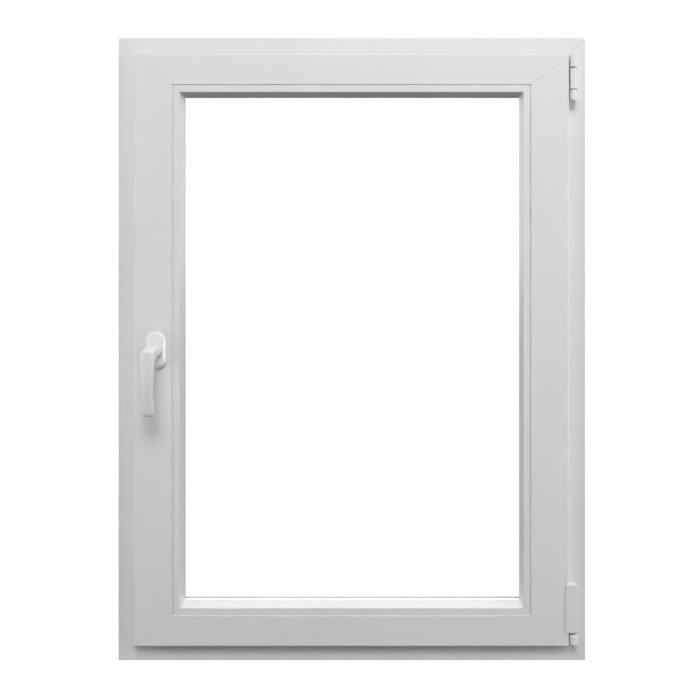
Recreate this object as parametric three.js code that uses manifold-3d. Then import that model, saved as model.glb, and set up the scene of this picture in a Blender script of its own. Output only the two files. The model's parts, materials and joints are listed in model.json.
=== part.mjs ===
// Tilt-and-turn casement window in white PVC, opening into the room.
// Millimetres. X runs to the right as seen from the room, +Y points outdoors, +Z points up.
// The origin is the centre of the frame's underside, halfway through its depth.
// Most pieces follow one of the window's four sides, so they are drawn in side coordinates:
// u is measured inwards from the window's outer edge, t along the side, y through the wall.
import * as THREE from "three";
import { mergeVertices } from "three/addons/utils/BufferGeometryUtils.js";
import Module from "manifold-3d";

const wasm = await Module();
wasm.setup();

// Overall size and the gap left between pieces that touch.
const WIDTH = 900;
const HEIGHT = 1200;
const GAP = 0.3;
const MITRE_GAP = 0.15;

// Frame section.
const FRAME_ROOM = -35;
const FRAME_OUT = 35;
const REBATE_U = 47;
const STEP_U = 43;
const STEP_Y = -19;
const STOP_U = 67;
const STOP_Y = 18;

// Sash section. The stiles are wider than the rails.
const SASH_U = 37;
const SASH_BODY_U = 59;
const SASH_ROOM = -55;
const OVERLAP_Y = -40;
const SASH_OUT = 15;
const LEG_Y = 3;
const LEG = 9;
const RAIL_INNER = 96;
const STILE_EXTRA = 13.3;
const STILE_INNER = RAIL_INNER + STILE_EXTRA;
const SASH_EDGE_RADIUS = 3;

// Hardware groove in the sash edge, 13 mm behind the overlap.
const GROOVE_Y = OVERLAP_Y + 13;
const PLATE_SEAT_U = SASH_BODY_U + 3;
const GROOVE_FLOOR_U = 71;
const PLATE_HALF = 7.7;
const GROOVE_HALF = 6;

// Glazing: a 24 mm unit of two 4 mm panes, held by beads on the room side.
const BEAD_ROOM = -53.7;
const BEAD_BACK = -28;
const BEAD_FACE = 14;
const BEAD_WIDTH = 17;
const GLASS_ROOM = -25;
const GLASS_OUT = -1;
const PANE = 4;
const GLASS_EDGE = 3;
const BEAD_FOOT_Y = [-50.2, -46.8];

// Drive gear: a half turn of the handle moves the rods by 36 mm.
const ROD_TRAVEL = 36;
const GEAR_TEETH = 12;
const TOOTH_PITCH = ROD_TRAVEL / (GEAR_TEETH / 2);
const GEAR_RADIUS = ROD_TRAVEL / Math.PI;
const BACKSET = 21.5;
const HANDLE_U = SASH_BODY_U + BACKSET;
const HANDLE_X = HANDLE_U - WIDTH / 2;
const HANDLE_Z = 600;
const POST_SPACING = 43;
const SPINDLE = 7;
const ROD_U = [PLATE_SEAT_U + 0.6, PLATE_SEAT_U + 3.6];
const CAM_TIP_U = 51.3;
const STILE_CAMS = [330, 900];
const HEAD_CAM = 270;

// Hinge line, on the right-hand side in front of the frame.
const HINGE_X = 422.8;
const HINGE_Y = -49;
const PIVOT_Z = 62.5;
const BARREL_RADIUS = 6.8;
const TAB_Y = [-38.4, -35.9];
const STAY_LENGTH = 400;
const STAY_Z = [1144.2, 1147.2];

const white = (name) =>
  new THREE.MeshStandardMaterial({ name, color: 0xf2f2f0, roughness: 0.38, metalness: 0 });
const pvc = white("white_pvc");
const paint = new THREE.MeshStandardMaterial({
  name: "white_painted_metal", color: 0xf6f6f4, roughness: 0.3, metalness: 0 });
const rubber = new THREE.MeshStandardMaterial({ name: "grey_gasket", color: 0xa8a9a8, roughness: 0.8 });
const steel = new THREE.MeshStandardMaterial({
  name: "galvanised_steel", color: 0xa9adb0, roughness: 0.42, metalness: 0.9 });
const spacerMetal = new THREE.MeshStandardMaterial({
  name: "spacer_aluminium", color: 0xc2c4c6, roughness: 0.4, metalness: 0.9 });
const glass = new THREE.MeshStandardMaterial({
  name: "clear_glass", color: 0xf4fafa, roughness: 0.04, transparent: true, opacity: 0.25 });
const packerPlastic = new THREE.MeshStandardMaterial({
  name: "packer_plastic", color: 0x3f6fae, roughness: 0.6 });

const vec = (x, y, z) => new THREE.Vector3(x, y, z);
const SIDES = {
  lock: { u: vec(1, 0, 0), t: vec(0, 0, 1), start: vec(-WIDTH / 2, 0, 0), length: HEIGHT },
  hinge: { u: vec(-1, 0, 0), t: vec(0, 0, 1), start: vec(WIDTH / 2, 0, 0), length: HEIGHT },
  sill: { u: vec(0, 0, 1), t: vec(1, 0, 0), start: vec(-WIDTH / 2, 0, 0), length: WIDTH },
  head: { u: vec(0, 0, -1), t: vec(1, 0, 0), start: vec(-WIDTH / 2, 0, HEIGHT), length: WIDTH },
};
const isStile = (side) => side === "lock" || side === "hinge";
const innerOf = (side) => (isStile(side) ? STILE_INNER : RAIL_INNER);

const add = (a, b) => a.add(b);
const rectangle = (x0, x1, y0, y1) => [[x0, y0], [x1, y0], [x1, y1], [x0, y1]];
const span = (centre, half) => [centre - half, centre + half];

// Points of a circular arc; the angles are in degrees.
function arc(x, y, radius, from, to, steps = 4) {
  return Array.from({ length: steps + 1 }, (_, i) => {
    const angle = THREE.MathUtils.degToRad(from + ((to - from) * i) / steps);
    return [x + radius * Math.cos(angle), y + radius * Math.sin(angle)];
  });
}

// Two half circles joined by straight sides, upright, for plates, slots and the rosette.
function stadium(halfWidth, halfHeight, steps = 16) {
  const centre = halfHeight - halfWidth;
  return [...arc(0, centre, halfWidth, 0, 180, steps), ...arc(0, -centre, halfWidth, 180, 360, steps)];
}

function solid(geometry, matrix = new THREE.Matrix4()) {
  const bare = geometry.clone().applyMatrix4(matrix);
  bare.deleteAttribute("normal");
  bare.deleteAttribute("uv");
  const merged = mergeVertices(bare, 1e-4);
  const corners = Uint32Array.from(merged.index.array);
  if (matrix.determinant() < 0) {
    for (let i = 0; i < corners.length; i += 3) {
      [corners[i], corners[i + 1]] = [corners[i + 1], corners[i]];
    }
  }
  const vertProperties = Float32Array.from(merged.attributes.position.array);
  return new wasm.Manifold(new wasm.Mesh({ numProp: 3, vertProperties, triVerts: corners }));
}

// A flat outline, with holes, pushed along the third of the three given axes.
function extrude(outline, holes, from, to, axes, start) {
  const toShape = (points, Kind) => new Kind(points.map(([x, y]) => new THREE.Vector2(x, y)));
  const shape = toShape(outline, THREE.Shape);
  shape.holes = holes.map((hole) => toShape(hole, THREE.Path));
  const geometry = new THREE.ExtrudeGeometry(shape, { depth: to - from, bevelEnabled: false, steps: 1 });
  const matrix = new THREE.Matrix4().makeBasis(...axes);
  matrix.setPosition(start.clone().addScaledVector(axes[2], from));
  return solid(geometry, matrix);
}

const Y = vec(0, 1, 0);
// A section drawn in (u, y), pushed along the side from t0 to t1.
function bar(side, outline, t0, t1, holes = []) {
  const { u, t, start } = SIDES[side];
  return extrude(outline, holes, t0, t1, [u, Y, t], start);
}
// An outline drawn in (u, t), pushed through the wall from y0 to y1.
function slab(side, outline, [y0, y1]) {
  const { u, t, start } = SIDES[side];
  return extrude(outline, [], y0, y1, [u, t, Y], start);
}
const block = (side, [u0, u1], [y0, y1], [t0, t1]) => bar(side, rectangle(u0, u1, y0, y1), t0, t1);
// A box and an upright outline in world coordinates.
const upright = (outline, [z0, z1], x = 0, y = 0) =>
  extrude(outline, [], z0, z1, [vec(1, 0, 0), Y, vec(0, 0, 1)], vec(x, y, 0));
const box = ([x0, x1], [y0, y1], z) => upright(rectangle(x0, x1, y0, y1), z);

function rod(from, to, radius, segments = 20) {
  const length = from.distanceTo(to);
  const direction = to.clone().sub(from).normalize();
  const turn = new THREE.Quaternion().setFromUnitVectors(Y, direction);
  const middle = from.clone().add(to).multiplyScalar(0.5);
  const matrix = new THREE.Matrix4().compose(middle, turn, vec(1, 1, 1));
  return solid(new THREE.CylinderGeometry(radius, radius, length, segments), matrix);
}
// A turned piece about a vertical axis; the profile is a list of [radius, z].
function turned(profile, x, y, segments = 40) {
  const points = profile.map(([r, z]) => new THREE.Vector2(r, z));
  const matrix = new THREE.Matrix4().makeRotationX(Math.PI / 2).setPosition(x, y, 0);
  return solid(new THREE.LatheGeometry(points, segments), matrix);
}
// A rod along u, for what stands out of the sash edge.
function stud(side, t, [u0, u1], radius) {
  const { u, t: along, start } = SIDES[side];
  const at = (value) => start.clone().addScaledVector(u, value).addScaledVector(along, t).setY(GROOVE_Y);
  return rod(at(u0), at(u1), radius, 16);
}

// A skin over a row of closed rings with equal numbers of points, capped at both ends.
function loft(rings) {
  const count = rings[0].length;
  const last = (rings.length - 1) * count;
  const centre = (points) =>
    points.reduce((sum, point) => sum.add(point), vec(0, 0, 0)).divideScalar(count);
  const points = [...rings.flat(), centre(rings[0]), centre(rings[rings.length - 1])];
  const index = [];
  for (let j = 0; j < count; j += 1) {
    const next = (j + 1) % count;
    index.push(last + count, next, j, last + count + 1, last + j, last + next);
    for (let a = 0; a < last; a += count) {
      index.push(a + j, a + next, a + count + next, a + j, a + count + next, a + count + j);
    }
  }
  const geometry = new THREE.BufferGeometry().setFromPoints(points);
  geometry.setIndex(index);
  return solid(geometry);
}

// A closed ring of one section, drawn in (u, y), mitred at the window's four corners.
function ring(outline, extra = 0) {
  const clockwise = THREE.ShapeUtils.isClockWise(outline.map(([x, y]) => new THREE.Vector2(x, y)));
  const section = clockwise ? [...outline].reverse() : outline;
  const right = WIDTH / 2 - extra;
  const corners = [[-1, 0], [1, 0], [1, 1], [-1, 1]];
  const positions = corners.flatMap(([side, top]) =>
    section.flatMap(([u, y]) => [side * (right - u), y, top ? HEIGHT - u : u]));
  const count = section.length;
  const index = [];
  for (let corner = 0; corner < 4; corner += 1) {
    for (let i = 0; i < count; i += 1) {
      const next = (i + 1) % count;
      const [a, b] = [corner * count + i, corner * count + next];
      const after = ((corner + 1) % 4) * count;
      index.push(a, after + i, b, b, after + i, after + next);
    }
  }
  const geometry = new THREE.BufferGeometry();
  geometry.setAttribute("position", new THREE.Float32BufferAttribute(positions, 3));
  geometry.setIndex(index);
  return solid(geometry);
}

// The part of a side between its two mitres. The corner line is a list of [u, t] points.
function mitred(side, piece, cornerLine) {
  const { length } = SIDES[side];
  const near = cornerLine.map(([u, t]) => [u, t + MITRE_GAP]);
  const far = cornerLine.map(([u, t]) => [u, length - t - MITRE_GAP]).reverse();
  return piece.intersect(slab(side, [...near, ...far], [-100, 100]));
}
const FRAME_CORNER = [[-1, -1], [70, 70]];
const SASH_CORNER = [[30, 30], [59, 59], [STILE_INNER, RAIL_INNER], [STILE_INNER + 25, RAIL_INNER + 25]];
const cornerLine = (side) => (isStile(side) ? SASH_CORNER : SASH_CORNER.map(([u, t]) => [t, u]));

const frameGroup = new THREE.Group();
const swingGroup = new THREE.Group();
const stayGroup = new THREE.Group();
const sashGroup = new THREE.Group();
const handleGroup = new THREE.Group();
const stileRodGroup = new THREE.Group();
const headRodGroup = new THREE.Group();

function put(group, name, piece, material) {
  const mesh = piece.getMesh();
  const geometry = new THREE.BufferGeometry();
  geometry.setAttribute("position", new THREE.BufferAttribute(mesh.vertProperties, 3));
  geometry.setIndex(new THREE.BufferAttribute(mesh.triVerts, 1));
  geometry.computeVertexNormals();
  const part = new THREE.Mesh(geometry, material.clone());
  part.name = name;
  group.add(part);
}

// ---- Frame -------------------------------------------------------------------------------

const frameOutline = [
  [0, FRAME_ROOM], ...arc(REBATE_U - 2, FRAME_ROOM + 2, 2, 270, 360, 2),
  [REBATE_U, STEP_Y], [STEP_U, STEP_Y], [STEP_U - 1, STOP_Y],
  [60.5, STOP_Y], [60.5, STOP_Y + 2.5], [64.5, STOP_Y + 2.5], [64.5, STOP_Y],
  [STOP_U, STOP_Y], [STOP_U, FRAME_OUT - 5], [STOP_U - 5, FRAME_OUT],
  [0, FRAME_OUT], [0, 22], [2, 22], [2, 18], [0, 18], [0, -18], [2, -18], [2, -22], [0, -22],
];
const frameChambers = [
  rectangle(4.5, 44, -32, -21.5), rectangle(4.5, 40, -19.5, 6),
  rectangle(4.5, 39, 8, 19), rectangle(4.5, 58, 21, 32),
];

function uSection([a, b], [front, back], wall) {
  return [[a, front], [b, front], [b, back], [b - wall, back],
    [b - wall, front + wall], [a + wall, front + wall], [a + wall, back], [a, back]];
}

const DRAIN_X = [-250, 250];
function makeFrame() {
  const names = { head: "frame_head", sill: "frame_sill",
    lock: "frame_jamb_lock_side", hinge: "frame_jamb_hinge_side" };
  for (const side of Object.keys(SIDES)) {
    const { length } = SIDES[side];
    let piece = mitred(side, bar(side, frameOutline, 0, length, frameChambers), FRAME_CORNER);
    if (side === "sill") {
      for (const x of DRAIN_X) {
        piece = piece.subtract(block(side, [20, 25], [28, 40], span(x + WIDTH / 2, 14)));
      }
    }
    put(frameGroup, names[side], piece, pvc);
    const reinforcement = bar(side, uSection([5.5, 39], [-18.5, 5], 1.5), 45, length - 45);
    put(frameGroup, `${names[side]}_steel`, reinforcement, steel);
  }
  const seal = [
    [60.8, 20.2], [64.2, 20.2], [64.2, 17.7], [65.5, 17.7], [65.5, 16.9], [63.6, 16.6],
    [62.7, 15.4], [61.4, 15.4], [61, 16.8], [59.5, 16.9], [59.5, 17.7], [60.8, 17.7],
  ];
  put(frameGroup, "frame_gasket", ring(seal), rubber);
  for (const [i, x] of DRAIN_X.entries()) {
    const rim = slab("sill", stadium(7, 22, 6).map(([u, t]) => [u + 22.5, t + x + WIDTH / 2]),
      [FRAME_OUT + GAP, FRAME_OUT + 2]);
    const hood = block("sill", [18, 27], [FRAME_OUT + 1, FRAME_OUT + 5], span(x + WIDTH / 2, 15));
    put(frameGroup, `drain_cap_${i + 1}`, rim.add(hood), pvc);
  }
}

// A striker plate for a locking cam, with a rib that the cam runs against.
function makeKeep(side, name, camT, direction) {
  const travel = (direction * ROD_TRAVEL) / 2;
  const along = span(camT + travel, 32);
  const base = block(side, [REBATE_U + GAP, REBATE_U + 3], [-34.5, -19.3], along);
  const rib = block(side, [REBATE_U + 2, 55], [-20.8, -19.3], span(camT + travel, 26));
  let piece = base.add(rib);
  for (const end of [-1, 1]) {
    piece = piece.subtract(stud(side, camT + travel + end * 26, [40, 60], 2.2));
  }
  put(frameGroup, name, piece, steel);
}

function makeKeeps() {
  makeKeep("lock", "keep_lower", STILE_CAMS[0], -1);
  makeKeep("lock", "keep_upper", STILE_CAMS[1], -1);
  makeKeep("head", "keep_head", HEAD_CAM, -1);
  const ramp = [[80, REBATE_U + GAP], [130, REBATE_U + GAP], [130, 51], [118, 57], [92, 57], [80, 51]];
  const lifter = slab("sill", ramp.map(([t, u]) => [u, t]), [-34, -20.5]);
  put(frameGroup, "lifting_block", lifter, packerPlastic);
}

// ---- Hinges ------------------------------------------------------------------------------

const onAxis = (z) => vec(HINGE_X, HINGE_Y, z);
const bore = (z0, z1, radius = 3.3) => rod(onAxis(z0), onAxis(z1), radius, 16);
const BEARING_X = [414.2, 430.8];

function makeStayBearing() {
  const r = BARREL_RADIUS;
  const upper = turned([[0, 1138.7], [r, 1138.7], [r, 1160], [r - 1, 1163], [r - 3.4, 1165], [0, 1165]],
    HINGE_X, HINGE_Y);
  const lower = turned([[0, 1074], [4.6, 1074], [r, 1078.5], [r, 1094.2], [0, 1094.2]],
    HINGE_X, HINGE_Y);
  const plateY = [-38, FRAME_ROOM - GAP];
  const pieces = [
    upper, lower,
    box([417.5, 429], [-45, -37], [1139.5, 1161]), box([417.5, 429], [-45, -37], [1079, 1093.5]),
    box(BEARING_X, plateY, [1138.7, 1164]), box(BEARING_X, plateY, [1076, 1094.2]),
    box([426.1, 430.8], plateY, [1090, 1150]),
  ];
  put(frameGroup, "stay_bearing", pieces.reduce(add).subtract(bore(1070, 1158.5)), paint);
  put(frameGroup, "stay_bearing_pin", bore(1073, 1158, 3), steel);
}

function makeStay() {
  const tongue = box([380, 400], [TAB_Y[0], -20.5], [STAY_Z[1] + GAP, STAY_Z[1] + 2.8]);
  const pieces = [
    rod(onAxis(1096.6), onAxis(1135.2), BARREL_RADIUS, 40),
    box([418, 424.3], [-44, TAB_Y[1]], [1099, 1133.4]),
    box([393.5, 424.3], TAB_Y, [1099, 1133.4]),
    box([393.5, 408], TAB_Y, [1099, STAY_Z[1] + 2.8]),
    tongue, box([380, 408], TAB_Y, [STAY_Z[1] + GAP, STAY_Z[1] + 2.8]),
  ];
  put(stayGroup, "stay_band", pieces.reduce(add).subtract(bore(1090, 1145)), paint);
  const end = HINGE_X - STAY_LENGTH;
  const arm = box([end, 400], [-34, -20.5], STAY_Z).add(rod(vec(end, GROOVE_Y, STAY_Z[0]),
    vec(end, GROOVE_Y, STAY_Z[1]), 7)).subtract(rod(vec(end, GROOVE_Y, 1140), vec(end, GROOVE_Y, 1150), 3.3));
  put(stayGroup, "stay_arm", arm, steel);
  const pin = rod(vec(end, GROOVE_Y, 1133.5), vec(end, GROOVE_Y, 1148), 3)
    .add(rod(vec(end, GROOVE_Y, STAY_Z[1] + GAP), vec(end, GROOVE_Y, 1149.5), 5.5));
  put(stayGroup, "stay_slider", pin, steel);
}

function makeCornerHinge() {
  const cup = turned([[0, 40], [7.4, 40], [8.2, 41], [8.2, 56.5], [7.4, 57.5], [0, 57.5]], HINGE_X, HINGE_Y);
  const bracket = box([416.3, 429.8], [-46, -37], [41, 56.5]);
  const plate = box(BEARING_X, [-38, FRAME_ROOM - GAP], [38, 59]);
  put(frameGroup, "corner_bearing", cup.add(bracket).add(plate).subtract(bore(43, 70)), paint);

  const ball = turned(arc(0, PIVOT_Z, 4.5, -90, 90, 10), HINGE_X, HINGE_Y);
  put(swingGroup, "corner_pivot", ball.add(bore(43 + GAP, 59.5, 3)), steel);

  const socket = turned(arc(0, PIVOT_Z, 4.9, -90, 90, 10), HINGE_X, HINGE_Y);
  const zTab = [70, 150];
  const band = [
    rod(onAxis(63.3), onAxis(112), 5.8, 24),
    box([418.3, 424.3], [-45, TAB_Y[1]], zTab), box([391.3, 424.3], TAB_Y, zTab),
    box([391.3, 393.8], [TAB_Y[0], -20.5], zTab),
  ];
  put(sashGroup, "corner_band", band.reduce(add).subtract(socket), steel);

  // The cover laps over the edge of the sash face.
  const [front, back] = [-57, -42.3];
  const [lap, left, right] = [WIDTH / 2 - SASH_U - 6, WIDTH / 2 - SASH_U + GAP, 430.4];
  const lapBack = SASH_ROOM - GAP;
  const outline = [[right, back], [left, back], [left, lapBack], [lap, lapBack],
    ...arc(lap + 1.2, front + 1.2, 1.2, 180, 270), ...arc(right - 3, front + 3, 3, 270, 360)];
  const shell = upright(outline, [64.8, 154.5]);
  const hollow = box([left + 1.4, right - 1.4], [front + 1.7, -40], [60, 152.8]);
  put(sashGroup, "corner_band_cover", shell.subtract(hollow), pvc);
}

// ---- Sash --------------------------------------------------------------------------------

function sashOutline(inner) {
  const leg = inner + LEG;
  const edge = SASH_EDGE_RADIUS;
  const [plate0, plate1] = span(GROOVE_Y, 8);
  const [groove0, groove1] = span(GROOVE_Y, GROOVE_HALF);
  return [
    ...arc(SASH_U + edge, SASH_ROOM + edge, edge, 180, 270, 5),
    ...arc(inner - 1, SASH_ROOM + 1, 1, 270, 360, 3),
    [inner, BEAD_FOOT_Y[0] - GAP], [inner - 3, BEAD_FOOT_Y[0] - GAP],
    [inner - 3, BEAD_FOOT_Y[1] + GAP], [inner, BEAD_FOOT_Y[1] + GAP],
    [inner, LEG_Y], [leg - 7.5, LEG_Y], [leg - 7.5, LEG_Y + 2.5], [leg - 4, LEG_Y + 2.5], [leg - 4, LEG_Y],
    [leg, LEG_Y], [leg, LEG_Y + 3], [leg - 6, SASH_OUT],
    [SASH_BODY_U, SASH_OUT], [SASH_BODY_U, plate1], [PLATE_SEAT_U, plate1],
    [PLATE_SEAT_U, groove1], [GROOVE_FLOOR_U, groove1], [GROOVE_FLOOR_U, groove0],
    [PLATE_SEAT_U, groove0], [PLATE_SEAT_U, plate0], [SASH_BODY_U, plate0], [SASH_BODY_U, OVERLAP_Y],
    [45.5, OVERLAP_Y], [45.5, -42.8], [42.5, -42.8], [42.5, OVERLAP_Y], [SASH_U, OVERLAP_Y],
  ];
}
const sashChambers = (inner) => [
  rectangle(48, inner - 5.5, -52.2, -43.5), rectangle(73.5, inner - 3.5, -41, -6),
  rectangle(62, 71.5, -16.5, 12), rectangle(73.5, inner - 3.5, -4, 12),
];

// Slot for the gear box, and holes for the spindle and the two handle screws.
function gearCutouts() {
  const through = (z, radius) => rod(vec(HANDLE_X, -60, z), vec(HANDLE_X, -30, z), radius);
  const slot = block("lock", [66, 100], [-33.3, -20.7], span(HANDLE_Z, 60));
  return [slot, through(HANDLE_Z, 6.5), through(HANDLE_Z - POST_SPACING / 2, 3.2),
    through(HANDLE_Z + POST_SPACING / 2, 3.2)].reduce(add);
}

// An L through the hardware groove of the top corner on the lock side.
const ell = ([u0, u1], half) => block("lock", [u0, u1], span(GROOVE_Y, half), [1060, HEIGHT - u0])
  .add(block("head", [u0, u1], span(GROOVE_Y, half), [u0, 150]));

function makeSash() {
  const cornerPocket = ell([SASH_BODY_U, PLATE_SEAT_U], 8).add(ell([61, GROOVE_FLOOR_U], GROOVE_HALF));
  const names = { head: "sash_top_rail", sill: "sash_bottom_rail",
    lock: "sash_stile_lock_side", hinge: "sash_stile_hinge_side" };
  for (const side of Object.keys(SIDES)) {
    const { length } = SIDES[side];
    const inner = innerOf(side);
    let member = bar(side, sashOutline(inner), 0, length, sashChambers(inner));
    member = mitred(side, member, cornerLine(side));
    let core = bar(side, uSection([74.3, inner - 4.3], [-40.2, -6.8], 1.5), 115, length - 115);
    if (side === "lock" || side === "head") {
      member = member.subtract(cornerPocket);
    }
    if (side === "lock") {
      member = member.subtract(gearCutouts());
      core = core.subtract(gearCutouts());
    }
    put(sashGroup, names[side], member, pvc);
    put(sashGroup, `${names[side]}_steel`, core, steel);
  }
}

// The seal in the overlap: its lip is notched where hinge bands cross it and is pressed flat
// along the bottom, where tilting closes the gap.
function makeOverlapGasket() {
  const [foot, base] = [-42.5, OVERLAP_Y + GAP];
  const section = [
    [42.8, foot], [45.2, foot], [45.2, base], [46.5, base], [46.5, base + 1], [45.3, base + 1],
    [44.2, -35.5], [42.6, -35.5], [42.9, base + 1], [41.5, base + 1], [41.5, base], [42.8, base],
  ];
  const aboveBase = [base + 0.95, -30];
  const acrossX = [400, 415];
  const seal = ring(section).subtract(box(acrossX, aboveBase, [67, 153]))
    .subtract(box(acrossX, aboveBase, [1099, 1151]))
    .subtract(box([-420, 420], [-37.7, -30], [30, PIVOT_Z + 2]));
  put(sashGroup, "sash_gasket", seal, rubber);
}

function beadOutline(inner) {
  const [foot0, foot1] = BEAD_FOOT_Y;
  const back = inner + GAP;
  return [
    [back, BEAD_ROOM], ...arc(inner + BEAD_FACE - 0.8, BEAD_ROOM + 0.8, 0.8, 270, 360, 3),
    [inner + BEAD_WIDTH, BEAD_BACK - 2], [inner + BEAD_WIDTH, BEAD_BACK], [back, BEAD_BACK],
    [back, foot1], [inner - 2.6, foot1], [inner - 2.6, foot0], [back, foot0],
  ];
}
const beadChamber = (inner) =>
  [[inner + 2.8, -49.8], [inner + 11.8, -49.8], [inner + 14, -31], [inner + 2.8, -31]];
// Beads meet at 45 degrees from the inner corner of the sash face.
const beadCorner = (inner, other) => [[inner - 5, other - 5], [inner + 30, other + 30]];

function makeBeads() {
  const names = { head: "bead_top", sill: "bead_bottom", lock: "bead_lock_side", hinge: "bead_hinge_side" };
  for (const side of Object.keys(SIDES)) {
    const inner = innerOf(side);
    const other = isStile(side) ? RAIL_INNER : STILE_INNER;
    const piece = bar(side, beadOutline(inner), 0, SIDES[side].length, [beadChamber(inner)]);
    put(sashGroup, names[side], mitred(side, piece, beadCorner(inner, other)), pvc);
  }
}

function makeGlazing() {
  const leg = RAIL_INNER + LEG;
  const outer = [
    [leg - 7.2, 5.2], [leg - 4.3, 5.2], [leg - 4.3, LEG_Y - GAP], [leg - 0.8, LEG_Y - GAP],
    [leg - 1.8, GLASS_OUT + GAP], [leg - 5.6, GLASS_OUT + GAP], [leg - 8.2, LEG_Y - GAP],
    [leg - 7.2, LEG_Y - GAP],
  ];
  put(sashGroup, "glazing_gasket_outdoor", ring(outer, STILE_EXTRA), rubber);
  const inner = RAIL_INNER + BEAD_WIDTH;
  const room = [
    [inner - 6, BEAD_BACK + GAP], [inner - 0.4, BEAD_BACK + GAP], [inner - 0.3, -26.6],
    [inner - 1, GLASS_ROOM - GAP], [inner - 6, GLASS_ROOM - GAP],
  ];
  put(sashGroup, "glazing_gasket_room", ring(room, STILE_EXTRA), rubber);

  const acrossX = span(0, WIDTH / 2 - STILE_INNER - GLASS_EDGE);
  const acrossZ = span(HEIGHT / 2, HEIGHT / 2 - RAIL_INNER - GLASS_EDGE);
  put(sashGroup, "glass_pane_room", box(acrossX, [GLASS_ROOM, GLASS_ROOM + PANE], acrossZ), glass);
  put(sashGroup, "glass_pane_outdoor", box(acrossX, [GLASS_OUT - PANE, GLASS_OUT], acrossZ), glass);
  const edge = RAIL_INNER + GLASS_EDGE;
  const between = rectangle(edge + 1, edge + 7, GLASS_ROOM + PANE + GAP, GLASS_OUT - PANE - GAP);
  put(sashGroup, "glass_spacer", ring(between, STILE_EXTRA), spacerMetal);

  const packers = [
    ["sill", 210, "packer_bottom_lock_side"], ["sill", 690, "packer_bottom_hinge_side"],
    ["head", 210, "packer_top"], ["hinge", 990, "packer_hinge_side"],
  ];
  for (const [side, t, name] of packers) {
    const u = [innerOf(side) + GAP, innerOf(side) + GLASS_EDGE - GAP];
    put(sashGroup, name, block(side, u, [-24.5, -1.5], span(t, 50)), packerPlastic);
  }
}

// ---- Drive gear --------------------------------------------------------------------------

const plateSeat = [SASH_BODY_U + GAP, PLATE_SEAT_U - GAP];
// Faceplate strip with long holes for what passes through it; each hole is [t0, t1, half width].
function faceplate(side, t0, t1, holes) {
  const strip = block(side, plateSeat, span(GROOVE_Y, PLATE_HALF), [t0, t1]);
  return holes.reduce((piece, [h0, h1, half]) =>
    piece.subtract(block(side, [50, 64], span(GROOVE_Y, half), [h0, h1])), strip);
}
const camHole = (t) => [t - ROD_TRAVEL - 3.3, t + 3.3, 3.2];

// A locking cam: a shank through the faceplate and a wider head in the air gap.
const cam = (side, t) => stud(side, t, [CAM_TIP_U, 57.5], 5).add(stud(side, t, [57, ROD_U[0] + 1], 2.5));

const CORNER_U = [PLATE_SEAT_U + GAP, GROOVE_FLOOR_U - 0.5];
const STAY_SLOT = [WIDTH / 2 + HINGE_X - STAY_LENGTH - 5, WIDTH / 2 + HINGE_X - STAY_LENGTH + 30];

function makeDriveGear() {
  put(sashGroup, "lock_faceplate", faceplate("lock", 112, 1059.5, STILE_CAMS.map(camHole)), steel);
  const headHoles = [camHole(HEAD_CAM), [...STAY_SLOT, 4.5]];
  put(sashGroup, "head_faceplate", faceplate("head", 150.5, 822, headHoles), steel);

  put(sashGroup, "corner_drive", ell(plateSeat, PLATE_HALF).add(
    ell([plateSeat[1] - 0.5, CORNER_U[1]], GROOVE_HALF - GAP)), steel);
  makeGearBox();
}

function makeGearBox() {
  const [y0, y1] = span(GROOVE_Y, 5.7);
  const through = (z, radius) => rod(vec(HANDLE_X, y0 - 5, z), vec(HANDLE_X, y1 + 5, z), radius);
  const inside = span(GROOVE_Y, 3.7);
  const wheelRoom = rod(vec(HANDLE_X, inside[0], HANDLE_Z), vec(HANDLE_X, inside[1], HANDLE_Z), 13.4, 32);
  const hollow = wheelRoom.add(block("lock", [60, 75], inside, span(HANDLE_Z, 50)));
  let box = block("lock", [ROD_U[1] + 1.4, 98.8], [y0, y1], span(HANDLE_Z, 55)).subtract(hollow);
  box = box.subtract(through(HANDLE_Z, 7.3));
  for (const side of [-1, 1]) {
    box = box.subtract(through(HANDLE_Z + (side * POST_SPACING) / 2, 2.8));
  }
  put(sashGroup, "gear_box", box, steel);
}

const ADDENDUM = 1.2;
const DEDENDUM = 1.7;
// Rod in the lock stile: a flat bar with locking cams and a rack that the drive wheel turns.
function makeStileRod() {
  const flat = block("lock", ROD_U, span(GROOVE_Y, 4), [150, 1050]);
  const pitchLine = HANDLE_U - GEAR_RADIUS;
  const root = pitchLine - DEDENDUM;
  const rackTeeth = 9;
  const first = HANDLE_Z - TOOTH_PITCH / 2 - TOOTH_PITCH;
  const [low, high] = [first - 1.5 - TOOTH_PITCH / 2, first + (rackTeeth - 0.5) * TOOTH_PITCH + 1.5];
  const outline = [[ROD_U[1] - 1, low], [root, low]];
  for (let i = 0; i < rackTeeth; i += 1) {
    const t = first + i * TOOTH_PITCH;
    outline.push([root, t - 1.45], [pitchLine + ADDENDUM, t - 0.7], [pitchLine + ADDENDUM, t + 0.7],
      [root, t + 1.45]);
  }
  outline.push([root, high], [ROD_U[1] - 1, high]);
  const rack = slab("lock", outline, span(GROOVE_Y, 3.2));
  const whole = STILE_CAMS.reduce((piece, t) => piece.add(cam("lock", t)), flat.add(rack));
  put(stileRodGroup, "drive_rod_stile", whole, steel);
}

function makeHeadRod() {
  const flat = block("head", ROD_U, span(GROOVE_Y, 4), [188, 340]);
  put(headRodGroup, "drive_rod_head", flat.add(cam("head", HEAD_CAM)), steel);
}

// ---- Handle ------------------------------------------------------------------------------

const aroundSpindle = (outline, [y0, y1], holes = []) =>
  extrude(outline, holes, y0, y1, [vec(1, 0, 0), vec(0, 0, 1), Y], vec(HANDLE_X, 0, HANDLE_Z));
const square = (side) => rectangle(-side / 2, side / 2, -side / 2, side / 2);
const circle = (radius, steps = 24) => arc(0, 0, radius, 0, 360 - 360 / steps, steps - 1);

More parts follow.
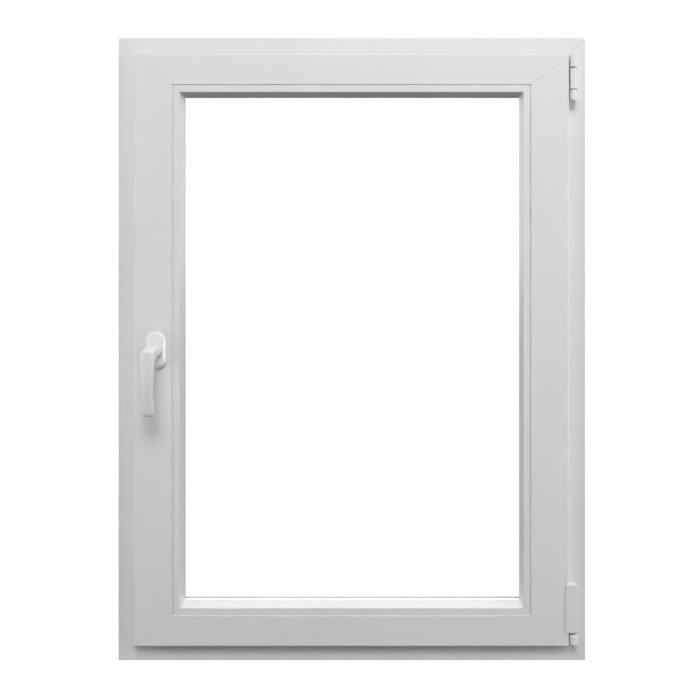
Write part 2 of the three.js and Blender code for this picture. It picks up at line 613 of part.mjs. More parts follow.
const ROSETTE = [18.8, 35.2];
const ROSETTE_FRONT = -65;
function makeRosette() {
  const [w, h] = ROSETTE;
  const back = SASH_ROOM - GAP;
  const edge = [[0, back], [0, -60.4], [4, -64.2], [4.9, -64.8], [6, ROSETTE_FRONT]];
  const shell = loft(edge.map(([inset, y]) => stadium(w - inset, h - inset)
    .map(([x, z]) => vec(HANDLE_X + x, y, HANDLE_Z + z))));
  const pocket = aroundSpindle(stadium(w - 4.2, h - 4.2), [-62.8, back + 1]);
  const cover = shell.subtract(pocket).subtract(aroundSpindle(circle(12.4), [-70, back]));
  put(sashGroup, "rosette_cover", cover, paint);

  const base = aroundSpindle(stadium(w - 4.6, h - 4.6), [-62.4, back]);
  const hub = aroundSpindle(circle(9.4), [-70, back + 1]);
  const screwAt = (z, radius, [y0, y1]) =>
    rod(vec(HANDLE_X, y0, HANDLE_Z + z), vec(HANDLE_X, y1, HANDLE_Z + z), radius, 16);
  let plate = base.subtract(hub);
  for (const [name, z] of [["lower", -POST_SPACING / 2], ["upper", POST_SPACING / 2]]) {
    plate = plate.subtract(screwAt(z, 2.8, [-70, -50])).subtract(screwAt(z, 4.8, [-70, -59]));
    const screw = screwAt(z, 2.5, [-60, -23]).add(screwAt(z, 4.4, [-61.6, -59 - GAP]));
    put(sashGroup, `handle_screw_${name}`, screw, steel);
  }
  put(sashGroup, "rosette_base", plate, steel);
}

// The grip is a row of rings. Each station gives the front and the back point of a ring, as
// [y, z from the spindle], then its half width and its squareness: 2 is an oval, more is boxier.
const GRIP_STATIONS = [
  [[-65.3, 12.2], [-65.3, -12.2], 12.4, 2], [[-78, 11.9], [-77, -12.6], 12.3, 2.1],
  [[-92, 10.2], [-88.8, -14.6], 12.1, 2.5], [[-102.4, 7.2], [-95.4, -19], 12, 3],
  [[-108.4, 4.9], [-97.8, -23.5], 12, 3.4], [[-111.4, 3.2], [-98.9, -27], 12, 3.6],
  [[-112.6, 1.6], [-99.3, -29.5], 12, 3.7], [[-113, -0.9], [-99.6, -32], 12, 3.8],
  [[-113.3, -5.8], [-99.8, -35.5], 11.9, 3.8], [[-113.9, -17.5], [-100, -42.5], 11.6, 3.8],
  [[-114.2, -45], [-99.6, -58.5], 10.2, 3.5], [[-111.4, -78], [-97.6, -82.5], 9, 3.2],
  [[-107.4, -102], [-95.2, -104], 9.7, 3], [[-105.4, -112], [-94.4, -112.5], 10.1, 2.8],
  [[-103.4, -116.2], [-96, -116.4], 8.8, 2.5], [[-101, -117.6], [-98.8, -117.6], 4.5, 2.2],
];
const GRIP_RINGS = 45;
const GRIP_SIDES = 32;
function makeGrip() {
  const curve = (pick) => new THREE.CatmullRomCurve3(GRIP_STATIONS.map(pick), false, "catmullrom", 0.5);
  const front = curve(([[y, z], , halfWidth]) => vec(halfWidth, y, z));
  const back = curve(([, [y, z], , squareness]) => vec(squareness, y, z));
  return loft(Array.from({ length: GRIP_RINGS }, (_, i) => {
    const a = front.getPoint(i / (GRIP_RINGS - 1));
    const b = back.getPoint(i / (GRIP_RINGS - 1));
    const power = 2 / b.x;
    const bulge = (value) => Math.sign(value) * Math.abs(value) ** power;
    return circle(1, GRIP_SIDES).map(([across, out]) => {
      const blend = (1 + bulge(out)) / 2;
      return vec(HANDLE_X + a.x * bulge(across), b.y + (a.y - b.y) * blend,
        HANDLE_Z + b.z + (a.z - b.z) * blend);
    });
  }));
}

function makeHandle() {
  const neckHub = aroundSpindle(circle(9), [-65.5, -56]);
  const collar = aroundSpindle(circle(12), [-65.6, -63.1]);
  const socket = aroundSpindle(square(SPINDLE + 0.6), [-90, -50]);
  const lever = makeGrip().add(neckHub).add(collar).subtract(socket);
  put(handleGroup, "handle_lever", lever, paint);
  put(handleGroup, "handle_spindle", aroundSpindle(square(SPINDLE), [-89, -22]), steel);

  const teeth = [];
  for (let i = 0; i < GEAR_TEETH; i += 1) {
    const middle = (360 * i) / GEAR_TEETH;
    for (const [radius, width] of [[GEAR_RADIUS - DEDENDUM, -1.45], [GEAR_RADIUS + ADDENDUM, -0.65],
      [GEAR_RADIUS + ADDENDUM, 0.65], [GEAR_RADIUS - DEDENDUM, 1.45]]) {
      const angle = THREE.MathUtils.degToRad(middle) + width / radius;
      teeth.push([radius * Math.cos(angle), radius * Math.sin(angle)]);
    }
  }
  const wheel = aroundSpindle(teeth, span(GROOVE_Y, 3.4)).add(aroundSpindle(circle(7), span(GROOVE_Y, 5.4)));
  put(handleGroup, "drive_wheel", wheel.subtract(aroundSpindle(square(SPINDLE + 0.6), [-50, 0])), steel);
}

makeFrame();
makeKeeps();
makeStayBearing();
makeStay();
makeCornerHinge();
makeSash();
makeOverlapGasket();
makeBeads();
makeGlazing();
makeDriveGear();
makeStileRod();
makeHeadRod();
makeRosette();
makeHandle();

const model = new THREE.Group();
model.name = "casement_window";
sashGroup.add(handleGroup, stileRodGroup, headRodGroup);
swingGroup.add(sashGroup, stayGroup);
model.add(frameGroup, swingGroup);

export default model;
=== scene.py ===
"""Tilt-and-turn window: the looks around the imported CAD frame.

Visible CAD pieces are copied, cleaned and given rounded edges and smooth shading. The handle
and its rosette are modelled again at a finer resolution, and the heads of the hardware's screws
are added. Everything is in metres; X right, +Y outdoors, Z up.
"""
import math

import bmesh
import bpy
from mathutils import Matrix, Vector
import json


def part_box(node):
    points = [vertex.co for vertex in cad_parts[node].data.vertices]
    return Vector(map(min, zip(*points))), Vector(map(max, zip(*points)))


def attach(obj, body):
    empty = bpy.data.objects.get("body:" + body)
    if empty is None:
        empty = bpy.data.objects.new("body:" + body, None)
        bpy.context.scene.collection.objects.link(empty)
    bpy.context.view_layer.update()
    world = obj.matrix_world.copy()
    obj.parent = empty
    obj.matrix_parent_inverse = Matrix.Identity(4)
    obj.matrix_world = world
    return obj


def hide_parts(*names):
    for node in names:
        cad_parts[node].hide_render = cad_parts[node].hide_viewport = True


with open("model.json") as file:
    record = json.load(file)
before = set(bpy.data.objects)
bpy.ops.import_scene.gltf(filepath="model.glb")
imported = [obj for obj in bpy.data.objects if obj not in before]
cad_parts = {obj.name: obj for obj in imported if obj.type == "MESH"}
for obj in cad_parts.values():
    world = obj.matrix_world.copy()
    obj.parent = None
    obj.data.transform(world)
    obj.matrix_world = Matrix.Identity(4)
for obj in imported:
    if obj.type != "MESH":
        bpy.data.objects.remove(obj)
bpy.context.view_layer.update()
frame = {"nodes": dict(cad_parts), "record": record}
NODES = frame["nodes"]
MM = 0.001

PVC_SLOT = "white_pvc"
PAINT_SLOT = "white_painted_metal"
STEEL_SLOT = "galvanised_steel"

# Points closer than this are one point, and faces flatter than this are one face.
MERGE_DISTANCE = 1e-6
FLAT_ANGLE = math.radians(0.5)
# Edges sharper than these are rounded, or stay hard in the smooth shading.
ROUNDED_ANGLE = math.radians(32)
HARD_ANGLE = math.radians(40)
LOFT_HARD_ANGLE = math.radians(50)


# ---- Materials ---------------------------------------------------------------------------

def grey(value):
    return (value, value, value, 1)


class Shader:
    """A Principled material with a few helpers for its procedural inputs."""

    def __init__(self, name, **sockets):
        self.material = bpy.data.materials.new(name)
        self.material.use_nodes = True
        self.tree = self.material.node_tree
        self.surface = self.tree.nodes["Principled BSDF"]
        for socket, value in sockets.items():
            self.surface.inputs[socket.replace("_", " ")].default_value = value
        self.place = self.node("ShaderNodeTexCoord").outputs["Object"]

    def node(self, kind, **settings):
        made = self.tree.nodes.new(kind)
        for name, value in settings.items():
            setattr(made, name, value)
        return made

    def link(self, source, target):
        self.tree.links.new(source, target)

    def stretched(self, scale):
        """Object coordinates stretched along an axis, for grain that follows a direction."""
        mapping = self.node("ShaderNodeMapping")
        mapping.inputs["Scale"].default_value = scale
        self.link(self.place, mapping.inputs["Vector"])
        return mapping.outputs["Vector"]

    def noise(self, scale, detail=3, place=None):
        made = self.node("ShaderNodeTexNoise")
        made.inputs["Scale"].default_value = scale
        made.inputs["Detail"].default_value = detail
        self.link(place or self.place, made.inputs["Vector"])
        return made.outputs["Fac"]

    def ramp(self, factor, low, high, start=0.3, end=0.7):
        made = self.node("ShaderNodeValToRGB")
        first, last = made.color_ramp.elements
        first.position, last.position = start, end
        first.color, last.color = low, high
        self.link(factor, made.inputs["Fac"])
        return made.outputs["Color"]

    def colour(self, factor, low, high, **range_):
        self.link(self.ramp(factor, low, high, **range_), self.surface.inputs["Base Color"])

    def rough(self, factor, low, high):
        made = self.node("ShaderNodeMapRange")
        made.inputs["To Min"].default_value = low
        made.inputs["To Max"].default_value = high
        self.link(factor, made.inputs["Value"])
        self.link(made.outputs["Result"], self.surface.inputs["Roughness"])

    def bump(self, heights):
        """Adds (height, strength, depth in metres) bumps one on top of another."""
        normal = None
        for height, strength, depth in heights:
            made = self.node("ShaderNodeBump")
            made.inputs["Strength"].default_value = strength
            made.inputs["Distance"].default_value = depth
            self.link(height, made.inputs["Height"])
            if normal:
                self.link(normal, made.inputs["Normal"])
            normal = made.outputs["Normal"]
        self.link(normal, self.surface.inputs["Normal"])


WHITE = 0.80
# The darkest and palest tints of the PVC, as shares of its white: a trace of yellow.
PVC_TINTS = [(0.985, 0.985, 0.98), (1.012, 1.012, 1.008)]


def pvc(name, along):
    """Extruded white PVC: faint draw lines along the member and a fine moulded skin."""
    shader = Shader(name, IOR=1.5)
    lines = shader.noise(60, 2, shader.stretched(along))
    mottle = shader.noise(9, 4)
    skin = shader.noise(1400, 2)
    shader.colour(mottle, *[(WHITE * red, WHITE * green, WHITE * blue, 1)
                            for red, green, blue in PVC_TINTS])
    shader.rough(mottle, 0.34, 0.44)
    shader.bump([(lines, 0.12, 0.0002), (skin, 0.1, 0.0001)])
    return shader.material


def paint():
    """White powder coat over cast metal: a slight orange peel."""
    shader = Shader("white_powder_coat", IOR=1.5)
    peel = shader.noise(700, 2)
    mottle = shader.noise(30, 3)
    shader.colour(mottle, (0.82, 0.82, 0.815, 1), (0.85, 0.85, 0.845, 1))
    shader.rough(mottle, 0.25, 0.34)
    shader.bump([(peel, 0.12, 0.00015)])
    shader.surface.inputs["Coat Weight"].default_value = 0.15
    return shader.material


def rubber(name, tone):
    """Matt extruded rubber, slightly uneven in tone."""
    shader = Shader(name, IOR=1.45)
    shader.colour(shader.noise(60, 4), grey(tone * 0.92), grey(tone * 1.08))
    shader.rough(shader.noise(120), 0.55, 0.75)
    shader.bump([(shader.noise(2500, 2), 0.2, 0.0001)])
    return shader.material


def zinc():
    """Galvanised steel: spangle cells in tone and gloss over a fine grain."""
    shader = Shader("zinc_plated_steel", Metallic=1.0)
    cells = shader.node("ShaderNodeTexVoronoi")
    cells.inputs["Scale"].default_value = 160
    shader.link(shader.place, cells.inputs["Vector"])
    tone = shader.node("ShaderNodeSeparateColor")
    shader.link(cells.outputs["Color"], tone.inputs["Color"])
    shader.colour(tone.outputs["Red"], (0.50, 0.51, 0.52, 1), (0.66, 0.67, 0.68, 1),
                  start=0, end=1)
    shader.rough(tone.outputs["Green"], 0.3, 0.5)
    shader.bump([(shader.noise(900, 3), 0.1, 0.0001)])
    return shader.material


def aluminium():
    """Mill-finish strip: fine drawing lines in tone and gloss."""
    shader = Shader("spacer_aluminium", Metallic=1.0)
    lines = shader.noise(220, 2, shader.stretched((1, 1, 0.04)))
    shader.colour(lines, (0.68, 0.69, 0.70, 1), (0.80, 0.81, 0.82, 1))
    shader.rough(lines, 0.28, 0.42)
    shader.bump([(lines, 0.1, 0.0001)])
    return shader.material


def packer_plastic():
    """Blue moulded plastic of the packers and the lifting block."""
    shader = Shader("packer_plastic", IOR=1.48)
    shader.colour(shader.noise(80), (0.04, 0.12, 0.36, 1), (0.06, 0.16, 0.44, 1))
    shader.rough(shader.noise(200), 0.4, 0.55)
    shader.bump([(shader.noise(1200, 2), 0.15, 0.0001)])
    return shader.material


def glass():
    """Clear float glass with hardly any tint; the slightest smear keeps it from being perfect."""
    shader = Shader("clear_float_glass", IOR=1.5, Alpha=0.05)
    smear = shader.noise(5, 5)
    shader.colour(smear, (0.90, 0.97, 0.94, 1), (0.95, 0.99, 0.97, 1))
    shader.rough(smear, 0.01, 0.05)
    return shader.material


# How the draw lines of upright and level members are stretched along X, Y and Z.
UPRIGHT, LEVEL = (1, 1, 0.01), (0.01, 1, 1)
MATERIALS = {
    "upright": pvc("white_pvc_upright", UPRIGHT), "level": pvc("white_pvc_level", LEVEL),
    PAINT_SLOT: paint(), "grey_gasket": rubber("grey_gasket_rubber", 0.33),
    "pale_gasket": rubber("pale_gasket_rubber", 0.78), STEEL_SLOT: zinc(),
    "spacer_aluminium": aluminium(), "clear_glass": glass(), "packer_plastic": packer_plastic(),
}
# A node with one of these words in its name is a level member.
LEVEL_WORDS = ("head", "sill", "rail", "top", "bottom", "drain")
SLOT_OF = {part["node"]: part["material_slot"] for part in frame["record"]["subparts"]}
BODIES = frame["record"]["behaviour"]["bodies"]
BODY_OF = {node: body for body, nodes in BODIES.items() for node in nodes}


def is_level(node):
    return any(word in node for word in LEVEL_WORDS)


def finish_of(node):
    """The material of a CAD node; the outdoor glazing gasket is pale, like the profile."""
    slot = SLOT_OF[node]
    if node == "glazing_gasket_outdoor":
        return MATERIALS["pale_gasket"]
    if slot != PVC_SLOT:
        return MATERIALS[slot]
    return MATERIALS["level" if is_level(node) else "upright"]


# ---- Pieces ------------------------------------------------------------------------------

def add_piece(name, mesh, body, material, replaced=(), weighted=True):
    """Makes a mesh a piece that rides on a body; weighted shading keeps its large faces flat."""
    mesh.materials.clear()
    mesh.materials.append(material)
    piece = bpy.data.objects.new(name, mesh)
    bpy.context.collection.objects.link(piece)
    for face in mesh.polygons:
        face.use_smooth = True
    if weighted:
        normals = piece.modifiers.new("flat_faces", "WEIGHTED_NORMAL")
        normals.keep_sharp = True
    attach(piece, body)
    if replaced:
        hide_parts(*replaced)
    return piece


ROUNDING_SEGMENTS = 3
SHORTEST_ROUNDED = 1.5  # an edge shorter than this many rounding widths stays as it is
PARALLEL = 0.999


def runs_along(edge, axis):
    direction = (edge.verts[1].co - edge.verts[0].co).normalized()
    return abs(direction[axis]) > PARALLEL


def rounded(bm, width, along=None):
    """Rounds the outer edges of a mesh. With an axis, only the edges that run along it: sawn
    mitres stay sharp, as a welded corner needs."""
    edges = [edge for edge in bm.edges if edge.is_manifold and edge.is_convex
             and edge.calc_face_angle() > ROUNDED_ANGLE
             and edge.calc_length() > SHORTEST_ROUNDED * width
             and (along is None or runs_along(edge, along))]
    bmesh.ops.bevel(bm, geom=edges, offset=width, offset_type="OFFSET",
                    segments=ROUNDING_SEGMENTS, profile=0.5, affect="EDGES", clamp_overlap=True)


MITRE_BREAK = 0.35 * MM
FACE_DEPTH = MM
SHORTEST_MITRE = 5 * MM


def open_mitres(bm):
    """Breaks the sawn edges on the room face, so that a fine line shows where members meet."""
    face_y = min(vert.co.y for vert in bm.verts)
    edges = []
    for edge in bm.edges:
        a, b = (vert.co for vert in edge.verts)
        slants = min(abs(a.x - b.x), abs(a.z - b.z)) > SHORTEST_MITRE
        if slants and max(a.y, b.y) < face_y + FACE_DEPTH:
            edges.append(edge)
    bmesh.ops.bevel(bm, geom=edges, offset=MITRE_BREAK, offset_type="OFFSET", segments=1,
                    affect="EDGES")


def cleaned(node):
    """The CAD mesh of a node as a bmesh of few, large faces."""
    bm = bmesh.new()
    bm.from_mesh(NODES[node].data)
    bmesh.ops.remove_doubles(bm, verts=bm.verts, dist=MERGE_DISTANCE)
    bmesh.ops.dissolve_limit(bm, angle_limit=FLAT_ANGLE, verts=bm.verts, edges=bm.edges)
    bmesh.ops.recalc_face_normals(bm, faces=bm.faces)
    return bm


def refine(node, width):
    """Stands a copy with rounded edges in for a CAD node."""
    bm = cleaned(node)
    along = None
    if node.startswith(("frame_", "sash_", "bead_")):
        along = 0 if is_level(node) else 2
    rounded(bm, width, along)
    if node.startswith("frame_"):
        open_mitres(bm)
    for edge in bm.edges:
        edge.smooth = not edge.is_manifold or edge.calc_face_angle(0) < HARD_ANGLE
    name = node + "_finished"
    mesh = bpy.data.meshes.new(name)
    bm.to_mesh(mesh)
    bm.free()
    add_piece(name, mesh, BODY_OF[node], finish_of(node), (node,))


def lofted(bm, rings):
    """A closed skin over a row of rings with equal numbers of points."""
    rows = [[bm.verts.new(point) for point in ring] for ring in rings]
    count = len(rows[0])
    for a, b in zip(rows, rows[1:]):
        for i in range(count):
            j = (i + 1) % count
            bm.faces.new((a[i], a[j], b[j], b[i]))
    bm.faces.new(list(reversed(rows[0])))
    bm.faces.new(rows[-1])


def lofted_mesh(name, rings):
    bm = bmesh.new()
    lofted(bm, rings)
    bmesh.ops.recalc_face_normals(bm, faces=bm.faces)
    for edge in bm.edges:
        edge.smooth = edge.calc_face_angle(0) < LOFT_HARD_ANGLE
    mesh = bpy.data.meshes.new(name)
    bm.to_mesh(mesh)
    bm.free()
    return mesh


def catmull_rom(stations, t):
    """A smooth curve through the stations at t from 0 to 1, ends continued straight."""
    last = len(stations) - 1
    i = min(int(t * last), last - 1)
    u = t * last - i
    p1, p2 = stations[i], stations[i + 1]
    p0 = stations[i - 1] if i > 0 else 2 * p1 - p2
    p3 = stations[i + 2] if i + 2 <= last else 2 * p2 - p1
    return 0.5 * ((2 * p1) + (p2 - p0) * u + (2 * p0 - 5 * p1 + 4 * p2 - p3) * u ** 2
                  + (3 * p1 - p0 - 3 * p2 + p3) * u ** 3)


# ---- Handle ------------------------------------------------------------------------------

wheel_low, wheel_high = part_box("drive_wheel")
SPINDLE = (Vector(wheel_low) + Vector(wheel_high)) / 2
# Each station of the grip: front and back point of a ring as (y, z above the spindle), half
# width and squareness, in millimetres; 2 is an oval and more is boxier.
GRIP_STATIONS = [
    ((-65.3, 12.2), (-65.3, -12.2), 12.4, 2), ((-78, 11.9), (-77, -12.6), 12.3, 2.1),
    ((-92, 10.2), (-88.8, -14.6), 12.1, 2.5), ((-102.4, 7.2), (-95.4, -19), 12, 3),
    ((-108.4, 4.9), (-97.8, -23.5), 12, 3.4), ((-111.4, 3.2), (-98.9, -27), 12, 3.6),
    ((-112.6, 1.6), (-99.3, -29.5), 12, 3.7), ((-113, -0.9), (-99.6, -32), 12, 3.8),
    ((-113.3, -5.8), (-99.8, -35.5), 11.9, 3.8), ((-113.9, -17.5), (-100, -42.5), 11.6, 3.8),
    ((-114.2, -45), (-99.6, -58.5), 10.2, 3.5), ((-111.4, -78), (-97.6, -82.5), 9, 3.2),
    ((-107.4, -102), (-95.2, -104), 9.7, 3), ((-105.4, -112), (-94.4, -112.5), 10.1, 2.8),
    ((-103.4, -116.2), (-96, -116.4), 8.8, 2.5), ((-101, -117.6), (-98.8, -117.6), 4.5, 2.2),
]
GRIP_RINGS, GRIP_SIDES = 136, 72


def superellipse(squareness, i, count):
    """Point i of count round an oval of half-size 1 that grows boxier with squareness."""
    angle = 2 * math.pi * i / count
    power = 2 / squareness
    return [math.copysign(abs(value) ** power, value)
            for value in (math.cos(angle), math.sin(angle))]


def make_grip():
    """The lever and its neck, lofted through the stations and kept inside the CAD's depth."""
    front = [Vector((y, z, half)) for (y, z), _, half, _ in GRIP_STATIONS]
    back = [Vector((y, z, square)) for _, (y, z), _, square in GRIP_STATIONS]
    rings = []
    cad_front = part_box("handle_lever")[0][1]
    for i in range(GRIP_RINGS):
        a, b = (catmull_rom(points, i / (GRIP_RINGS - 1)) for points in (front, back))
        ring = []
        for j in range(GRIP_SIDES):
            across, out = superellipse(b.z, j, GRIP_SIDES)
            blend = (1 + out) / 2
            depth = max((b.x + (a.x - b.x) * blend) * MM, cad_front)
            ring.append(Vector((SPINDLE.x + a.z * across * MM, depth,
                                SPINDLE.z + (b.y + (a.y - b.y) * blend) * MM)))
        rings.append(ring)
    mesh = lofted_mesh("handle_lever_finished", rings)
    add_piece("handle_lever_finished", mesh, "handle", MATERIALS[PAINT_SLOT],
              ("handle_lever",), weighted=False)


ROSETTE_ARC_STEPS = 40
# From the foot forwards, in millimetres: (inset, height above the foot), a sloping rim round a
# sunk field.
ROSETTE_PROFILE = [
    (0.5, 0), (0, 0.4), (0, 4.6), (0.1, 5.1), (0.35, 5.5), (0.8, 5.95), (2, 7.1), (3.2, 8.25),
    (3.9, 8.85), (4.4, 9.2), (4.9, 9.4), (5.3, 9.3), (5.8, 9.05), (6.4, 9),
]


def stadium(half_width, half_height):
    """Points of an upright slot shape with half-round ends."""
    centre = half_height - half_width
    points = []
    for side, start in ((1, 0), (-1, math.pi)):
        for i in range(ROSETTE_ARC_STEPS + 1):
            angle = math.pi * i / ROSETTE_ARC_STEPS + start
            points.append((half_width * math.cos(angle),
                           side * centre + half_width * math.sin(angle)))
    return points


def make_rosette():
    low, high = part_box("rosette_cover")
    half_width, half_height = (high[0] - low[0]) / 2, (high[2] - low[2]) / 2
    centre_x, centre_z = (high[0] + low[0]) / 2, (high[2] + low[2]) / 2
    back, depth = high[1], high[1] - low[1]
    rings = [[Vector((centre_x + x, back - min(forward * MM, depth), centre_z + z))
              for x, z in stadium(half_width - inset * MM, half_height - inset * MM)]
             for inset, forward in ROSETTE_PROFILE]
    mesh = lofted_mesh("rosette_cover_finished", rings)
    add_piece("rosette_cover_finished", mesh, "sash", MATERIALS[PAINT_SLOT],
              ("rosette_cover",), weighted=False)


# ---- Small fasteners ---------------------------------------------------------------------

SCREW_SIDES = 48
RECESS_LOBES = 6
# From the rim under the plate to the floor of the recess: radius as a share of the head's,
# height in millimetres and depth of the lobes.
SCREW_PROFILE = [
    (0.8, -0.7, 0), (1, -0.1, 0), (0.96, 0.12, 0), (0.62, 0.2, 0), (0.46, 0.17, 0.12),
    (0.43, -0.45, 0.12),
]


def screw_head(name, centre, normal, body, radius):
    """A countersunk head with a six-lobed recess, lying flush in a plate."""
    rings = []
    for share, height, lobes in SCREW_PROFILE:
        ring = []
        for i in range(SCREW_SIDES):
            angle = 2 * math.pi * i / SCREW_SIDES
            reach = radius * share * (1 + lobes * math.cos(RECESS_LOBES * angle))
            ring.append(Vector((reach * math.cos(angle), reach * math.sin(angle), height * MM)))
        rings.append(ring)
    mesh = lofted_mesh(name, rings)
    turn = Vector(normal).to_track_quat("Z", "Y").to_matrix().to_4x4()
    mesh.transform(Matrix.Translation(centre) @ turn)
    add_piece(name, mesh, body, MATERIALS[STEEL_SLOT], weighted=False)


KEEP_THICKNESS = 2.7 * MM
KEEP_SCREW_OFFSET = 26 * MM
KEEP_SCREW_RADIUS = 3.6 * MM
FACEPLATE_SCREW_RADIUS = 3.2 * MM
# Heights of the screws in the upright faceplate, and their X in the level one.
FACEPLATE_SCREWS = {"lock_faceplate": (0.2, 0.52, 0.7, 0.98), "head_faceplate": (-0.23, 0.07, 0.3)}


def node_corners(node):
    """The lowest corner, highest corner and middle of a node."""
    low, high = (Vector(corner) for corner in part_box(node))
    return low, high, (low + high) / 2


def make_screws():
    """Screws in the holes of the keeps and along the faceplates."""
    for node in ("keep_lower", "keep_upper", "keep_head"):
        low, high, middle = node_corners(node)
        for end, word in ((-1, "first"), (1, "second")):
            offset = end * KEEP_SCREW_OFFSET
            if is_level(node):
                place = (middle.x + offset, middle.y, high.z - KEEP_THICKNESS)
                normal = (0, 0, -1)
            else:
                place = (low.x + KEEP_THICKNESS, middle.y, middle.z + offset)
                normal = (1, 0, 0)
            screw_head(f"{node}_{word}_screw", Vector(place), normal, "frame", KEEP_SCREW_RADIUS)
    for node, places in FACEPLATE_SCREWS.items():
        low, high, middle = node_corners(node)
        for i, along in enumerate(places):
            if is_level(node):
                place, normal = (along, middle.y, high.z), (0, 0, 1)
            else:
                place, normal = (low.x, middle.y, along), (-1, 0, 0)
            screw_head(f"{node}_screw_{i + 1}", Vector(place), normal, "sash",
                       FACEPLATE_SCREW_RADIUS)


# ---- Room, light and camera --------------------------------------------------------------

# The camera looks straight at the room face of the frame, from this far in front of it.
CAMERA_DISTANCE = 1.300
CAMERA_X, CAMERA_HEIGHT = 0.0453, 0.7265
FIELD_WIDTH = 1.3488  # what the lens takes in at the frame's face
LENS_SHIFT = (-0.0362, -0.0950)
SENSOR = 36
NEAREST, FURTHEST = 0.05, 60
FRAME_FACE_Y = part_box("frame_head")[0][1]


def make_camera():
    data = bpy.data.cameras.new("camera")
    data.sensor_width = SENSOR
    data.lens = SENSOR * CAMERA_DISTANCE / FIELD_WIDTH
    data.shift_x, data.shift_y = LENS_SHIFT
    data.clip_start, data.clip_end = NEAREST, FURTHEST
    camera = bpy.data.objects.new("camera", data)
    camera.location = (CAMERA_X, FRAME_FACE_Y - CAMERA_DISTANCE, CAMERA_HEIGHT)
    camera.rotation_euler = (math.pi / 2, 0, 0)
    bpy.context.collection.objects.link(camera)
    bpy.context.scene.camera = camera


def softbox(name, place, target, size, power):
    data = bpy.data.lights.new(name, "AREA")
    data.shape = "RECTANGLE"
    data.size, data.size_y = size
    data.energy = power
    light = bpy.data.objects.new(name, data)
    light.location = place
    light.rotation_mode = "QUATERNION"
    light.rotation_quaternion = (Vector(target) - Vector(place)).to_track_quat("-Z", "Y")
    light.visible_camera = False
    bpy.context.collection.objects.link(light)


# Radiance of the room from straight down (0) through level (0.5) to straight up (1).
ROOM_LIGHT = [(0.0, 0.045), (0.5, 0.06), (1.0, 0.24)]
# Each softbox: place, what it points at, size and power in watts.
SOFTBOXES = {
    "key_above": ((0.2, -2.8, 3.6), (0.0, 0.0, 0.6), (2.0, 1.5), 102),
    "fill_right": ((2.8, -1.1, 0.8), (0.0, 0.0, 0.45), (1.2, 1.8), 45),
    "fill_left": ((-2.9, -1.0, 0.7), (0.0, 0.0, 0.45), (1.2, 1.8), 40),
    "behind": ((0.0, 2.0, 1.5), (0.0, 0.0, 0.6), (2.4, 1.8), 34),
}
BACKDROP_RADIANCE = 1.25
BACKDROP_RADIUS = 20
FLOOR_HALF_WIDTH = 12
FLOOR_HEIGHT = -1 * MM


def make_light():
    """A room that grows brighter upwards, and the softboxes."""
    world = bpy.data.worlds.new("room")
    bpy.context.scene.world = world
    world.use_nodes = True
    tree = world.node_tree
    place = tree.nodes.new("ShaderNodeTexCoord")
    split = tree.nodes.new("ShaderNodeSeparateXYZ")
    height = tree.nodes.new("ShaderNodeMapRange")
    height.inputs["From Min"].default_value = -1
    ramp = tree.nodes.new("ShaderNodeValToRGB")
    while len(ramp.color_ramp.elements) < len(ROOM_LIGHT):
        ramp.color_ramp.elements.new(0.5)
    for stop, (position, value) in zip(ramp.color_ramp.elements, ROOM_LIGHT):
        stop.position, stop.color = position, grey(value)
    tree.links.new(place.outputs["Generated"], split.inputs["Vector"])
    tree.links.new(split.outputs["Z"], height.inputs["Value"])
    tree.links.new(height.outputs["Result"], ramp.inputs["Fac"])
    tree.links.new(ramp.outputs["Color"], tree.nodes["Background"].inputs["Color"])
    for name, settings in SOFTBOXES.items():
        softbox(name, *settings)


def glowing(name, value):
    """A plain material of even radiance."""
    material = bpy.data.materials.new(name)
    material.use_nodes = True
    tree = material.node_tree
    tree.nodes.remove(tree.nodes["Principled BSDF"])
    light = tree.nodes.new("ShaderNodeEmission")
    light.inputs["Strength"].default_value = value
    tree.links.new(light.outputs["Emission"], tree.nodes["Material Output"].inputs["Surface"])
    return material


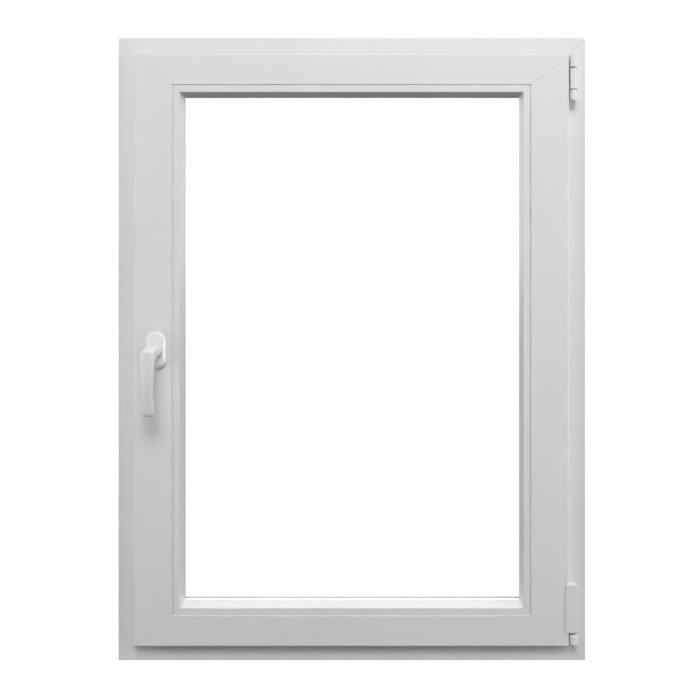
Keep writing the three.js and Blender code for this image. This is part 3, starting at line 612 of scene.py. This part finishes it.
def make_stage():
    """A pale floor and backdrop that the camera sees as white and that light nothing."""
    white = glowing("studio_white", BACKDROP_RADIANCE)
    floor_mesh = bpy.data.meshes.new("floor")
    bm = bmesh.new()
    bmesh.ops.create_grid(bm, x_segments=1, y_segments=1, size=FLOOR_HALF_WIDTH)
    bm.transform(Matrix.Translation((0, 0, FLOOR_HEIGHT)))
    bm.to_mesh(floor_mesh)
    bm.free()
    backdrop_mesh = bpy.data.meshes.new("backdrop")
    bm = bmesh.new()
    bmesh.ops.create_uvsphere(bm, u_segments=48, v_segments=24, radius=BACKDROP_RADIUS)
    bm.to_mesh(backdrop_mesh)
    bm.free()
    for mesh in (floor_mesh, backdrop_mesh):
        mesh.materials.append(white)
        stage = bpy.data.objects.new(mesh.name, mesh)
        bpy.context.collection.objects.link(stage)
        stage.visible_diffuse = False
        stage.visible_glossy = False
        stage.visible_shadow = False


# ---- Build -------------------------------------------------------------------------------

# Nodes that get rounded edges, by the width of the rounding in millimetres.
REFINED = [
    (0.5, ["frame_head", "frame_sill", "frame_jamb_lock_side", "frame_jamb_hinge_side",
           "sash_top_rail", "sash_bottom_rail", "sash_stile_lock_side",
           "sash_stile_hinge_side"]),
    (0.3, ["bead_top", "bead_bottom", "bead_lock_side", "bead_hinge_side"]),
    (0.8, ["corner_band_cover"]),
    (0.4, ["stay_bearing", "stay_band", "corner_bearing"]),
    (0.6, ["drain_cap_1", "drain_cap_2"]),
    (0.3, ["keep_lower", "keep_upper", "keep_head"]),
    (0.6, ["lifting_block"]),
    (0.3, ["lock_faceplate", "head_faceplate", "corner_drive"]),
    (0.4, ["stay_arm", "stay_slider"]),
    (0.3, ["corner_band"]),
    (0.2, ["corner_pivot"]),
    (0.4, ["stay_bearing_pin"]),
    (0.3, ["drive_rod_stile", "drive_rod_head"]),
]
for node, obj in NODES.items():
    obj.data.materials.clear()
    obj.data.materials.append(finish_of(node))
for width, nodes in REFINED:
    for node in nodes:
        refine(node, width * MM)
make_grip()
make_rosette()
make_screws()
make_camera()
make_light()
make_stage()

view = bpy.context.scene.view_settings
view.view_transform = "Standard"
view.look = "None"
